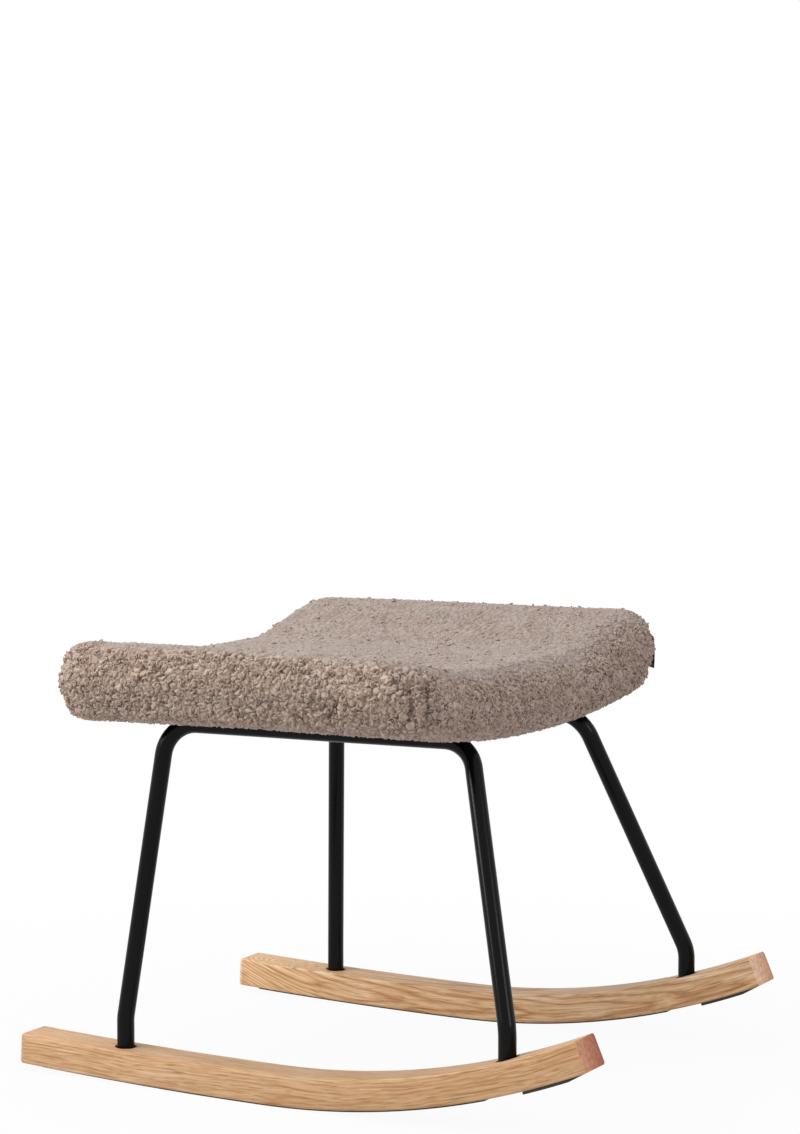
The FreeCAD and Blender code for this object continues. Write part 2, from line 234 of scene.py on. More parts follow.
def rocker_rings(y_middle):
    """Rings of points round the rocker from its tail to its front face."""
    steps = 5
    stations = [rocker_rear + rocker_tail_corner * (1 - math.cos(i / 12 * math.pi / 2)) for i in range(13)]
    stations += list(np.linspace(rocker_rear + rocker_tail_corner, rocker_front - rocker_front_round, 97)[1:])
    stations += [rocker_front - rocker_front_round * (1 - math.sin(i / 4 * math.pi / 2)) for i in range(1, 5)]
    points = []
    for x in stations:
        tail = fallen(rocker_tail_round, x - rocker_rear)
        narrow = fallen(rocker_tail_corner, x - rocker_rear)
        trim = fallen(rocker_front_round, rocker_front - x)
        high = rocker_height - tail - trim
        low = tail + trim
        outline = rounded_outline(rocker_width - 2 * (trim + narrow), high - low, rocker_edge_round, steps)
        for y, offset in outline:
            px, pz = rocker_point(x, (high + low) / 2 + offset)
            points.append((px, y_middle + y, pz))
    count = 4 * (steps + 1)
    last = points[-count:]
    centre = Vector(np.mean(last, axis=0))
    ahead = (Vector(rocker_point(rocker_front + 0.001, 0.014) + (0,)) - Vector(rocker_point(rocker_front, 0.014) + (0,))).normalized()
    for share in (0.97, 0.85, 0.6, 0.3):
        for p in last:
            q = centre + (Vector(p) - centre) * share
            bulge = front_face_bulge * (1 - ((q.y - y_middle) / (rocker_width / 2)) ** 2)
            points.append((q.x + ahead.x * bulge, q.y, q.z + ahead.y * bulge))
    return points, count


socket_radius = 0.0098
socket_depth = 0.017
socket_lip = 0.0007
foot_places = (-0.1845, 0.2065)


def socket_cutter(x, y):
    """Drill for one leg socket: a cylinder with a small countersink at the rocker's top."""
    top = rocker_point(x, rocker_height)[1]
    profile = [(socket_radius, top - socket_depth), (socket_radius, top - 0.0005), (socket_radius + socket_lip, top + socket_lip), (socket_radius + socket_lip, top + 0.02)]
    steps = 48
    points = []
    for radius, z in profile:
        for i in range(steps):
            angle = 2 * math.pi * i / steps
            points.append((x + radius * math.cos(angle), y + radius * math.sin(angle), z))
    return points, close_rings(len(profile), steps)


def cut_away(piece, points, faces):
    """Cuts a closed shape out of a piece."""
    tool = new_piece("tool", points, faces, piece.data.materials[0])
    cut = piece.modifiers.new("cut", "BOOLEAN")
    cut.operation = "DIFFERENCE"
    cut.solver = "EXACT"
    cut.object = tool
    settle(piece)
    bpy.data.objects.remove(tool)


def settle(piece):
    """Applies all of a piece's modifiers to its mesh."""
    evaluated = piece.evaluated_get(bpy.context.evaluated_depsgraph_get())
    old = piece.data
    piece.data = bpy.data.meshes.new_from_object(evaluated)
    piece.data.name = old.name
    piece.modifiers.clear()
    bpy.data.meshes.remove(old)


def store_grain(piece, y_middle, look):
    """Stores the board's own coordinates and the grain's direction at each vertex of a rocker."""
    spots = np.zeros(len(piece.data.vertices) * 3)
    piece.data.vertices.foreach_get("co", spots)
    x, y, z = spots.reshape(-1, 3).T
    radius = np.where(x >= rest_x, curve_radius, tail_radius)
    drop = strip_thickness + radius - z
    angle = np.arctan2(x - rest_x, drop)
    along = radius * angle
    deep = radius - np.hypot(x - rest_x, drop)
    bow = np.minimum(0.0, along - look["bow_start"])
    grain = np.stack([along, y - y_middle, deep - look["bow"] * bow ** 2], axis=1)
    way = np.stack([np.cos(angle), 0.0 * angle, np.sin(angle)], axis=1)
    for name, values in (("grain_place", grain), ("grain_way", way)):
        store = piece.data.attributes.new(name, "FLOAT_VECTOR", "POINT")
        store.data.foreach_set("vector", values.astype(np.float32).reshape(-1))


# Oiled ash: open-grained and satin. Growth rings 3 mm apart run along the bar, with rows of
# dark pores about 0.3 mm wide, drawn 0.6 mm wide so that they show, and pinker end grain, painted darker towards the +Y
# edge of each end face as shade.
def ash(name, look, seed):
    material, tree, shader = new_material(name)
    place = add_node(tree, "ShaderNodeAttribute", attribute_name="grain_place")
    turned = add_node(tree, "ShaderNodeMapping", {"Vector": place.outputs["Vector"], "Location": look["pith"], "Rotation": look["tilt"]})
    wander = add_node(tree, "ShaderNodeTexNoise", {"Vector": turned.outputs[0], "Scale": 9.0, "Detail": 2.0}, noise_dimensions="4D")
    wander.inputs["W"].default_value = seed
    stretched = add_node(tree, "ShaderNodeMapping", {"Vector": turned.outputs[0], "Scale": (0.06, 1.0, 1.0)})
    bent = add_node(tree, "ShaderNodeVectorMath", {0: wander.outputs["Color"], 1: (0.0, look["wander"], look["wander"]), 2: stretched.outputs[0]}, operation="MULTIPLY_ADD")
    cross = add_node(tree, "ShaderNodeVectorMath", {0: bent.outputs[0], 1: (0.0, 1.0, 1.0)}, operation="MULTIPLY")
    radius = add_node(tree, "ShaderNodeVectorMath", {0: cross.outputs[0]}, operation="LENGTH")
    rings = add_node(tree, "ShaderNodeMath", {0: radius.outputs["Value"], 1: look["ring_gap"]}, operation="DIVIDE")
    uneven = add_node(tree, "ShaderNodeTexNoise", {"Vector": stretched.outputs[0], "Scale": 60.0, "Detail": 2.0}, noise_dimensions="4D")
    uneven.inputs["W"].default_value = seed + 3.0
    shifted = add_node(tree, "ShaderNodeMath", {0: uneven.outputs["Fac"], 1: 2.4, 2: rings.outputs[0]}, operation="MULTIPLY_ADD")
    band = add_node(tree, "ShaderNodeMath", {0: shifted.outputs[0]}, operation="FRACT")
    ring_tone = ramp_node(tree, band.outputs[0], [(0.0, look["late"]), (0.22, look["middle"]), (0.55, look["early"]), (0.85, look["middle"]), (1.0, look["late"])])
    streak_space = add_node(tree, "ShaderNodeMapping", {"Vector": bent.outputs[0], "Scale": (260.0, 620.0, 620.0)})
    streaks = add_node(tree, "ShaderNodeTexNoise", {"Vector": streak_space.outputs[0], "Scale": 1.0, "Detail": 4.0, "Roughness": 0.65})
    streak_tone = ramp_node(tree, streaks.outputs["Fac"], [(0.34, "d3bc9c"), (0.48, "f3eadf"), (0.62, "ffffff")])
    pore_space = add_node(tree, "ShaderNodeMapping", {"Vector": turned.outputs[0], "Scale": (48.0, 1100.0, 1100.0)})
    pores = add_node(tree, "ShaderNodeTexNoise", {"Vector": pore_space.outputs[0], "Scale": 1.0, "Detail": 1.0}, noise_dimensions="3D")
    pore_rows = add_node(tree, "ShaderNodeMapRange", {"Value": band.outputs[0], "From Min": 0.6, "From Max": 0.0, "To Min": 0.40, "To Max": 0.95})
    pore_spots = add_node(tree, "ShaderNodeMapRange", {"Value": pores.outputs["Fac"], "From Min": 0.54, "From Max": 0.68, "To Min": 0.0, "To Max": 0.95})
    pore_dark = add_node(tree, "ShaderNodeMath", {0: pore_spots.outputs[0], 1: pore_rows.outputs[0]}, operation="MULTIPLY")
    cloud_space = add_node(tree, "ShaderNodeMapping", {"Vector": turned.outputs[0], "Scale": (4.0, 40.0, 40.0)})
    clouds = add_node(tree, "ShaderNodeTexNoise", {"Vector": cloud_space.outputs[0], "Scale": 1.0, "Detail": 3.0})
    cloud_tone = ramp_node(tree, clouds.outputs["Fac"], [(0.3, "f3eade"), (0.7, "ffffff")])
    clouded = add_node(tree, "ShaderNodeMix", {0: 1.0, 6: ring_tone.outputs[0], 7: cloud_tone.outputs[0]}, data_type="RGBA", blend_type="MULTIPLY")
    side = add_node(tree, "ShaderNodeMix", {0: 1.0, 6: clouded.outputs[2], 7: streak_tone.outputs[0]}, data_type="RGBA", blend_type="MULTIPLY")
    pored = add_node(tree, "ShaderNodeMix", {0: pore_dark.outputs[0], 6: side.outputs[2], 7: hex_colour("9c7549")}, data_type="RGBA")
    surface = add_node(tree, "ShaderNodeNewGeometry")
    way = add_node(tree, "ShaderNodeAttribute", attribute_name="grain_way")
    across = add_node(tree, "ShaderNodeVectorMath", {0: surface.outputs["Normal"], 1: way.outputs["Vector"]}, operation="DOT_PRODUCT")
    facing = add_node(tree, "ShaderNodeMath", {0: across.outputs["Value"]}, operation="ABSOLUTE")
    end = add_node(tree, "ShaderNodeMapRange", {"Value": facing.outputs[0], "From Min": 0.22, "From Max": 0.42}, interpolation_type="SMOOTHSTEP")
    where = add_node(tree, "ShaderNodeSeparateXYZ", {0: place.outputs["Vector"]})
    tail = add_node(tree, "ShaderNodeMapRange", {"Value": where.outputs["X"], "From Min": tail_along + tail_strip, "From Max": tail_along + tail_strip - 0.0006})
    ends = add_node(tree, "ShaderNodeMath", {0: end.outputs[0], 1: tail.outputs[0]}, operation="MAXIMUM")
    # Painted shade: the end grain's colour darkens across the bar towards its +Y edge.
    far_side_painted_shade = add_node(tree, "ShaderNodeMapRange", {"Value": where.outputs["Y"], "From Min": -rocker_width / 2, "From Max": rocker_width / 2})
    end_tone_and_painted_shade = ramp_node(tree, far_side_painted_shade.outputs[0], look["end"])
    end_grain = add_node(tree, "ShaderNodeTexNoise", {"Vector": place.outputs["Vector"], "Scale": 260.0, "Detail": 3.0})
    end_shade = ramp_node(tree, end_grain.outputs["Fac"], [(0.3, "dccfc8"), (0.65, "ffffff")])
    end_colour = add_node(tree, "ShaderNodeMix", {0: 1.0, 6: end_tone_and_painted_shade.outputs[0], 7: end_shade.outputs[0]}, data_type="RGBA", blend_type="MULTIPLY")
    colour = add_node(tree, "ShaderNodeMix", {0: ends.outputs[0], 6: pored.outputs[2], 7: end_colour.outputs[2]}, data_type="RGBA")
    relief = add_node(tree, "ShaderNodeMath", {0: pore_dark.outputs[0], 1: -1.0}, operation="MULTIPLY")
    bump = add_node(tree, "ShaderNodeBump", {"Height": relief.outputs[0], "Strength": 0.35, "Distance": 0.0003})
    polish = add_node(tree, "ShaderNodeMapRange", {"Value": clouds.outputs["Fac"], "To Min": 0.42, "To Max": 0.56})
    tree.links.new(colour.outputs[2], shader.inputs["Base Color"])
    tree.links.new(polish.outputs[0], shader.inputs["Roughness"])
    tree.links.new(bump.outputs[0], shader.inputs["Normal"])
    shader.inputs["IOR"].default_value = 1.47
    shader.inputs["Specular IOR Level"].default_value = 0.3
    return material


# Each "end" ramp runs across an end face from its -Y edge to its +Y edge and is painted darker towards +Y as shade.
plain_sawn = {
    "pith": (0.0, 0.100, 0.060), "tilt": (0.0, 0.015, 0.020), "wander": 0.012, "ring_gap": 0.0024,
    "bow": 0.0, "bow_start": 0.0, "late": "d0ac83", "middle": "d8b691", "early": "dfc09c",
    "end": ((0.0, "dba582"), (0.4, "c98967"), (0.8, "b26b4e"), (1.0, "8c422c")),
}
# The left rocker is the same ash as the right one. It stands in the seat's shade, so all its tones, end grain too, are
# painted lighter to make up for that shade: painted light.
cathedral_painted_lighter = {
    "pith": (0.0, -0.006, -0.014), "tilt": (0.0, 0.0, -0.030), "wander": 0.006, "ring_gap": 0.0025,
    "bow": 1.5, "bow_start": -0.110, "late": "cd9f74", "middle": "edcaa1", "early": "f9dfbd",
    "end": ((0.0, "f8d3b3"), (0.4, "ecbf9d"), (0.8, "dba683"), (1.0, "b87755")),
}
for side_name, sign, look, seed in (("right", -1, plain_sawn, 1.3), ("left", 1, cathedral_painted_lighter, 7.9)):
    y_middle = sign * rocker_track / 2
    rocker_points, ring_count = rocker_rings(y_middle)
    ash_wood = ash("oiled_ash_" + side_name, look, seed)
    rocker = new_piece("rocker_bar_" + side_name, rocker_points, close_rings(len(rocker_points) // ring_count, ring_count), ash_wood)
    for foot_x in foot_places:
        cut_away(rocker, *socket_cutter(foot_x, y_middle))
    store_grain(rocker, y_middle, look)
    rocker.data.shade_smooth()
    rocker.data.set_sharp_from_angle(angle=math.radians(38))
    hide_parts("rocker_" + side_name)
    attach(rocker, "root")


# Strips under the rockers
# A thin black rubber strip is glued along each rocker's underside, and a thicker one under the
# raised front, its tip ground down to a bevel.
rubber, rubber_tree, rubber_shader = new_material("moulded_black_rubber")
rubber_place = add_node(rubber_tree, "ShaderNodeTexCoord")
rubber_grain = add_node(rubber_tree, "ShaderNodeTexNoise", {"Vector": rubber_place.outputs["Object"], "Scale": 900.0, "Detail": 2.0})
rubber_tone = ramp_node(rubber_tree, rubber_grain.outputs["Fac"], [(0.3, "262321"), (0.7, "332f2c")])
rubber_bump = add_node(rubber_tree, "ShaderNodeBump", {"Height": rubber_grain.outputs["Fac"], "Strength": 0.25, "Distance": 0.0002})
rubber_tree.links.new(rubber_tone.outputs[0], rubber_shader.inputs["Base Color"])
rubber_tree.links.new(rubber_bump.outputs[0], rubber_shader.inputs["Normal"])
rubber_shader.inputs["Roughness"].default_value = 0.72

strip_inset = 0.002
strip_edge = 0.0004


def strip_piece(name, node, rear, front, thickness, taper, y_middle, thin_tail=0.0):
    """A strip along the underside from rear to front, tapered over its last stretch."""
    stations = list(np.linspace(rear, front - taper, 40)) + list(np.linspace(front - taper, front, 8)[1:])
    points = []
    width = rocker_width - 2 * strip_inset
    for x in stations:
        deep = thickness
        if taper and x > front - taper:
            deep = thickness - (thickness - 0.0006) * (x - front + taper) / taper
        if thin_tail and x < rear + thin_tail:
            deep = thickness * (0.25 + 0.75 * (x - rear) / thin_tail)
        for y, offset in rounded_outline(width, deep, min(strip_edge, deep / 2.2), 2):
            px, pz = rocker_point(x, -deep / 2 + offset)
            points.append((px, y_middle + y, pz))
    strip = new_piece(name, points, close_rings(len(stations), 12), rubber)
    strip.data.set_sharp_from_angle(angle=math.radians(30))
    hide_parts(node)
    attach(strip, "root")


for side_name, sign in (("right", -1), ("left", 1)):
    y_middle = sign * rocker_track / 2
    strip_piece("floor_strip_" + side_name, "glide_strip_" + side_name, -0.267, 0.193, strip_thickness, 0.0, y_middle,
                0.16 if sign < 0 else 0.0)
    strip_piece("front_strip_" + side_name, "end_strip_" + side_name, 0.229, 0.281, 0.0025, 0.010, y_middle)


# Side frames
# Each is one 16 mm steel tube bent into an inverted U, with a small bend above each rocker
# where the leg stands upright in its socket. Satin black powder coat.
tube_radius = 0.008
seat_bottom_z = 0.327
seat_bottom_radius = 1.400
seat_gap = 0.0003
dish_axis_z = seat_bottom_z + seat_bottom_radius
foot_bend_height = 0.027
foot_bend_radius = 0.038
top_bend_radius = 0.032
rear_corner = (-0.161, 0.154)
front_corner = (0.1296, 0.1125)

# Powder coat: a baked polymer skin, satin, with a faint orange peel about 1.5 mm across.
powder_coat, coat_tree, coat_shader = new_material("satin_black_powder_coat")
coat_place = add_node(coat_tree, "ShaderNodeTexCoord")
coat_peel = add_node(coat_tree, "ShaderNodeTexNoise", {"Vector": coat_place.outputs["Object"], "Scale": 650.0, "Detail": 1.0})
coat_cloud = add_node(coat_tree, "ShaderNodeTexNoise", {"Vector": coat_place.outputs["Object"], "Scale": 22.0, "Detail": 3.0})
coat_tone = ramp_node(coat_tree, coat_cloud.outputs["Fac"], [(0.3, "040504"), (0.7, "090a0a")])
coat_gloss = add_node(coat_tree, "ShaderNodeMapRange", {"Value": coat_cloud.outputs["Fac"], "To Min": 0.15, "To Max": 0.23})
coat_bump = add_node(coat_tree, "ShaderNodeBump", {"Height": coat_peel.outputs["Fac"], "Strength": 0.08, "Distance": 0.0003})
coat_tree.links.new(coat_tone.outputs[0], coat_shader.inputs["Base Color"])
coat_tree.links.new(coat_gloss.outputs[0], coat_shader.inputs["Roughness"])
coat_tree.links.new(coat_bump.outputs[0], coat_shader.inputs["Normal"])
coat_shader.inputs["Specular IOR Level"].default_value = 0.12


def bar_corner(x, y):
    """Corner of the tube's centre line under the seat's dished underside."""
    reach = seat_bottom_radius + seat_gap + tube_radius
    return (x, y, dish_axis_z - math.sqrt(reach ** 2 - y ** 2))


input_kinds = {float: "NodeSocketFloat", int: "NodeSocketInt", bpy.types.Material: "NodeSocketMaterial"}


def geometry_tree(name, values):
    """A tree from geometry to geometry, and the identifier of each of its named inputs."""
    tree = bpy.data.node_groups.new(name, "GeometryNodeTree")
    tree.interface.new_socket("Geometry", in_out="INPUT", socket_type="NodeSocketGeometry")
    tree.interface.new_socket("Geometry", in_out="OUTPUT", socket_type="NodeSocketGeometry")
    identifiers = {}
    for label, value in values.items():
        socket = tree.interface.new_socket(label, in_out="INPUT", socket_type=input_kinds[type(value)])
        identifiers[label] = socket.identifier
    return tree, identifiers


def run_tree(piece, tree, identifiers, values):
    """Runs a geometry tree on a piece, with its named inputs set, and keeps the mesh it makes."""
    modifier = piece.modifiers.new(tree.name, "NODES")
    modifier.node_group = tree
    for label, value in values.items():
        modifier[identifiers[label]] = value
    settle(piece)


tube_values = {"Tube radius": tube_radius, "Sides": 40, "Steps in a bend": 20, "Finish": powder_coat}
tube_tree, tube_inputs = geometry_tree("bent_tube", tube_values)
tube_in = add_node(tube_tree, "NodeGroupInput")
tube_line = add_node(tube_tree, "GeometryNodeMeshToCurve", {"Mesh": tube_in.outputs["Geometry"]})
tube_bend = add_node(tube_tree, "GeometryNodeInputNamedAttribute", {"Name": "bend_radius"}, data_type="FLOAT")
tube_fillet = add_node(tube_tree, "GeometryNodeFilletCurve", {"Curve": tube_line.outputs[0], "Count": tube_in.outputs["Steps in a bend"], "Radius": tube_bend.outputs[0], "Limit Radius": False}, mode="POLY")
tube_circle = add_node(tube_tree, "GeometryNodeCurvePrimitiveCircle", {"Resolution": tube_in.outputs["Sides"], "Radius": tube_in.outputs["Tube radius"]}, mode="RADIUS")
tube_skin = add_node(tube_tree, "GeometryNodeCurveToMesh", {"Curve": tube_fillet.outputs[0], "Profile Curve": tube_circle.outputs[0], "Fill Caps": True})
tube_real = add_node(tube_tree, "GeometryNodeRealizeInstances", {"Geometry": tube_skin.outputs[0]})
tube_finish = add_node(tube_tree, "GeometryNodeSetMaterial", {"Geometry": tube_real.outputs[0], "Material": tube_in.outputs["Finish"]})
add_node(tube_tree, "NodeGroupOutput", {"Geometry": tube_finish.outputs[0]})

foot_rear, foot_front = [(x, rocker_point(x, rocker_height)[1]) for x in foot_places]
for side_name, sign in (("right", -1), ("left", 1)):
    foot_y = rocker_track / 2
    corners = [
        (foot_rear[0], foot_y, foot_rear[1] - socket_depth),
        (foot_rear[0], foot_y, foot_rear[1] + foot_bend_height),
        bar_corner(*rear_corner),
        bar_corner(*front_corner),
        (foot_front[0], foot_y, foot_front[1] + foot_bend_height),
        (foot_front[0], foot_y, foot_front[1] - socket_depth),
    ]
    tube = new_piece("frame_tube_" + side_name, [(x, sign * y, z) for x, y, z in corners], [], powder_coat)
    tube.data.edges.add(len(corners) - 1)
    tube.data.edges.foreach_set("vertices", [i for e in range(len(corners) - 1) for i in (e, e + 1)])
    radii = tube.data.attributes.new("bend_radius", "FLOAT", "POINT")
    radii.data.foreach_set("value", [0.0, foot_bend_radius, top_bend_radius, top_bend_radius, foot_bend_radius, 0.0])
    run_tree(tube, tube_tree, tube_inputs, tube_values)
    tube.data.polygons.foreach_set("use_smooth", [True] * len(tube.data.polygons))
    tube.data.set_sharp_from_angle(angle=math.radians(60))
    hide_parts("side_frame_" + side_name)
    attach(tube, "root")


# Straps
# Two flat bars, 30 by 4 mm, curved to the shell and welded across the side frames.
for strap_name in ("seat_strap_rear", "seat_strap_front"):
    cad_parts[strap_name].data.materials.clear()
    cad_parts[strap_name].data.materials.append(powder_coat)


# Bolts, washers, plugs, tee nuts and staples
# Zinc-plated steel: cold-formed and tumbled, pale grey with a faint warm and blue cast.
zinc, zinc_tree, zinc_shader = new_material("zinc_plated_steel")
zinc_place = add_node(zinc_tree, "ShaderNodeTexCoord")
zinc_cloud = add_node(zinc_tree, "ShaderNodeTexNoise", {"Vector": zinc_place.outputs["Object"], "Scale": 180.0, "Detail": 3.0})
zinc_tone = ramp_node(zinc_tree, zinc_cloud.outputs["Fac"], [(0.3, "a9a79c"), (0.5, "b9bab9"), (0.7, "a7adb8")])
zinc_gloss = add_node(zinc_tree, "ShaderNodeMapRange", {"Value": zinc_cloud.outputs["Fac"], "To Min": 0.28, "To Max": 0.45})
zinc_tree.links.new(zinc_tone.outputs[0], zinc_shader.inputs["Base Color"])
zinc_tree.links.new(zinc_gloss.outputs[0], zinc_shader.inputs["Roughness"])
zinc_shader.inputs["Metallic"].default_value = 1.0
for fastener in ("leg_plugs", "rocker_bolts", "rocker_bolt_washers", "tee_nuts", "seat_bolts", "seat_bolt_washers", "staples"):
    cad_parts[fastener].data.materials.clear()
    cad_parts[fastener].data.materials.append(zinc)


# Seat shell
# Moulded plywood, 12 mm, dished across the stool: birch veneers glued in a press, edges unsealed.
plywood, ply_tree, ply_shader = new_material("moulded_birch_plywood")
ply_place = add_node(ply_tree, "ShaderNodeTexCoord")
ply_space = add_node(ply_tree, "ShaderNodeMapping", {"Vector": ply_place.outputs["Object"], "Scale": (12.0, 220.0, 60.0)})
ply_grain = add_node(ply_tree, "ShaderNodeTexNoise", {"Vector": ply_space.outputs[0], "Scale": 1.0, "Detail": 4.0})
ply_tone = ramp_node(ply_tree, ply_grain.outputs["Fac"], [(0.3, "c9a574"), (0.7, "dcc096")])
ply_tree.links.new(ply_tone.outputs[0], ply_shader.inputs["Base Color"])
ply_shader.inputs["Roughness"].default_value = 0.65
seat_front = 0.160
seat_rear = -0.235
seat_half_width = 0.240
corner_radii = {(1, 1): 0.046, (-1, 1): 0.036, (-1, -1): 0.041, (1, -1): 0.040}
seat_middle_x = (seat_front + seat_rear) / 2
shell_thickness = 0.012
shell_edge = 0.0125
cloth_thickness = 0.0008
middle_inset = 0.165
core_inset = 0.196
outline_count = 176


def seat_outline(inset, count):
    """Points of the seat's outline from above, drawn in by inset."""
    inset = float(inset)
    half_x = (seat_front - seat_rear) / 2 - inset
    half_y = seat_half_width - inset
    stretches = []
    turns = ((1, 1), (-1, 1), (-1, -1), (1, -1))
    radii = [min(max(corner_radii[turn] - inset, 0.004), half_x * 0.98) for turn in turns]
    for i, (sx, sy) in enumerate(turns):
        radius = radii[i]
        centre = Vector((sx * (half_x - radius), sy * (half_y - radius)))
        stretches.append((centre, radius, math.pi / 2 * i))
    ends = []
    for centre, radius, angle in stretches:
        for share in (0, 1):
            turned = angle + share * math.pi / 2
            ends.append(centre + radius * Vector((math.cos(turned), math.sin(turned))))
    lengths = []
    for i, (centre, radius, angle) in enumerate(stretches):
        lengths += [math.pi / 2 * radius, (ends[(2 * i + 2) % 8] - ends[2 * i + 1]).length]
    points = []
    for i in range(count):
        along = i / count * sum(lengths)
        part = 0
        while along > lengths[part]:
            along -= lengths[part]
            part += 1
        if part % 2:
            start, finish = ends[part], ends[(part + 1) % 8]
            spot = start.lerp(finish, along / lengths[part])
        else:
            centre, radius, angle = stretches[part // 2]
            turned = angle + along / radius
            spot = centre + radius * Vector((math.cos(turned), math.sin(turned)))
        points.append((spot.x + seat_middle_x, spot.y))
    return points


def dish_z(y, radius):
    """Height of a surface that runs beside the seat's dished underside."""
    return dish_axis_z - math.sqrt(radius ** 2 - y ** 2)


def dished_points(rings):
    """Points of rings round the seat's middle, each from an inset and a height above x and y.

    Past middle_inset a ring shrinks towards the middle, so that the last one is only a few
    millimetres long and the face that closes it stays on the dished surface.
    """
    half_length = (seat_front - seat_rear) / 2
    points = []
    for inset, height in rings:
        share = min(1.0, (half_length - inset) / (half_length - middle_inset))
        for x, y in seat_outline(min(inset, middle_inset), outline_count):
            px = seat_middle_x + (x - seat_middle_x) * share
            points.append((px, y * share, height(px, y * share)))
    return points


def dished_piece(name, rings, material):
    """A closed piece from rings round the seat's middle."""
    return new_piece(name, dished_points(rings), close_rings(len(rings), outline_count), material)


shell_low_radius = seat_bottom_radius - cloth_thickness
shell_half = shell_thickness / 2
shell_rings = []
for inset in np.linspace(core_inset, shell_edge + shell_half, 19)[:-1]:
    shell_rings.append((inset, lambda x, y: dish_z(y, shell_low_radius - shell_thickness)))
for angle in np.linspace(0, math.pi, 13):
    level = shell_half * (1 + math.cos(angle))
    inset = shell_edge + shell_half * (1 - math.sin(angle))
    shell_rings.append((inset, lambda x, y, up=level: dish_z(y, shell_low_radius - up)))
for inset in np.linspace(shell_edge + shell_half, core_inset, 19)[1:]:
    shell_rings.append((inset, lambda x, y: dish_z(y, shell_low_radius)))
shell = dished_piece("plywood_shell", shell_rings, plywood)
shell.data.set_sharp_from_angle(angle=math.radians(50))
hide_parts("seat_shell")
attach(shell, "root")


# Dust cover
# Black non-woven cloth, cut to the opening in the fleece and stapled under the shell.
felt, felt_tree, felt_shader = new_material("non_woven_dust_cloth")
felt_place = add_node(felt_tree, "ShaderNodeTexCoord")
felt_fibre = add_node(felt_tree, "ShaderNodeTexNoise", {"Vector": felt_place.outputs["Object"], "Scale": 1400.0, "Detail": 2.0})
felt_tone = ramp_node(felt_tree, felt_fibre.outputs["Fac"], [(0.3, "1b1b1d"), (0.7, "2a2a2d")])
felt_bump = add_node(felt_tree, "ShaderNodeBump", {"Height": felt_fibre.outputs["Fac"], "Strength": 0.4, "Distance": 0.0002})
felt_tree.links.new(felt_tone.outputs[0], felt_shader.inputs["Base Color"])
felt_tree.links.new(felt_bump.outputs[0], felt_shader.inputs["Normal"])
felt_shader.inputs["Roughness"].default_value = 0.95
cloth_cut = 0.0323
staple_inset = 0.041
staple_spacing = 0.042
pucker_depth = 0.0010
pucker_reach = 0.012
staple_front = seat_front - staple_inset
staple_rear = seat_rear + staple_inset
staple_half = seat_half_width - staple_inset
staples_along = int((staple_front - staple_rear) / staple_spacing)
staples_across = int(2 * staple_half / staple_spacing)
staple_places = []
for i in range(staples_along):
    x = staple_rear + (i + 0.5) * (staple_front - staple_rear) / staples_along
    staple_places += [(x, staple_half), (x, -staple_half)]
for i in range(staples_across):
    y = -staple_half + (i + 0.5) * 2 * staple_half / staples_across
    staple_places += [(staple_front, y), (staple_rear, y)]
staple_places = np.array(staple_places)


def pucker(x, y, inset):
    """How far the cloth hangs between its staples, near its edge."""
    nearest = np.hypot(staple_places[:, 0] - x, staple_places[:, 1] - y).min()
    free = 1 - math.exp(-(nearest / pucker_reach) ** 2)
    return pucker_depth * free * math.exp(-((inset - cloth_cut) / pucker_reach) ** 2)


cloth_rings = []
for inset in list(np.linspace(cloth_cut, 0.060, 14)) + list(np.linspace(0.060, core_inset, 24)[1:]):
    cloth_rings.append((inset, lambda x, y, i=inset: dish_z(y, seat_bottom_radius - cloth_thickness * 0.7) - pucker(x, y, i)))
cloth_faces = [face[::-1] for face in close_rings(len(cloth_rings), outline_count)[1:]]
dust_cloth = new_piece("dust_cloth", dished_points(cloth_rings), cloth_faces, felt)
hem = dust_cloth.modifiers.new("thickness", "SOLIDIFY")
hem.thickness = cloth_thickness * 0.6
hem.offset = 0
settle(dust_cloth)
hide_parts("dust_cover")
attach(dust_cloth, "root")


# Fleece seat
# A foam pad on the shell inside a sewn cover of curly fleece, pulled down and stapled under
# the shell's edge. The seat dips in the middle, and the fleece gathers in tucks at the corners.
seat_dip_z = 0.3834
right_dip_end = 0.055
right_rise_end = 0.228
right_rise = 0.0245
left_dip_end = 0.070
left_rise_end = 0.209
left_rise = 0.0285
seat_crown = 0.002
front_right_droop = 0.0080
rear_right_sag = 0.0038
front_lift = 0.004
side_shoulder = 0.021
end_shoulder = 0.036
side_lower = 0.017
left_lower = 0.034
end_lower = 0.027
end_blend = 0.060
seat_swell = 0.004
seat_under = 0.0065
seat_wrap = 0.032
shell_middle_lift = 0.006


def seat_top(x, y):
    """Height of the seat's upper face, away from its edges."""
    along = (x - seat_middle_x) / (seat_front - seat_middle_x)
    frontness = max(0.0, along - 0.2) / 0.8
    if y < 0:
        climb = max(0.0, -y - right_dip_end) / (right_rise_end - right_dip_end)
        rise = (right_rise - front_right_droop * frontness ** 2) * climb ** 2.2
    else:
        climb = min(1.0, max(0.0, y - left_dip_end) / (left_rise_end - left_dip_end))
        rise = left_rise * climb * climb * (3 - 2 * climb)
    return seat_dip_z + rise + seat_crown * (1 - along ** 2) + front_lift * frontness ** 2


def seat_low(x, y):
    """Height of the seat's underside, away from its edges."""
    rearness = max(0.0, (seat_middle_x - x) / (seat_middle_x - seat_rear))
    sag = rear_right_sag * max(0.0, -y / seat_half_width) * rearness
    return dish_z(y, seat_bottom_radius) - seat_under - sag


def end_share(y):
    """0 along the seat's sides and 1 across its ends, away from the corners."""
    share = min(1.0, max(0.0, (seat_half_width - abs(y)) / end_blend))
    return share * share * (3 - 2 * share)


def shoulder_radius(y):
    return side_shoulder + (end_shoulder - side_shoulder) * end_share(y)


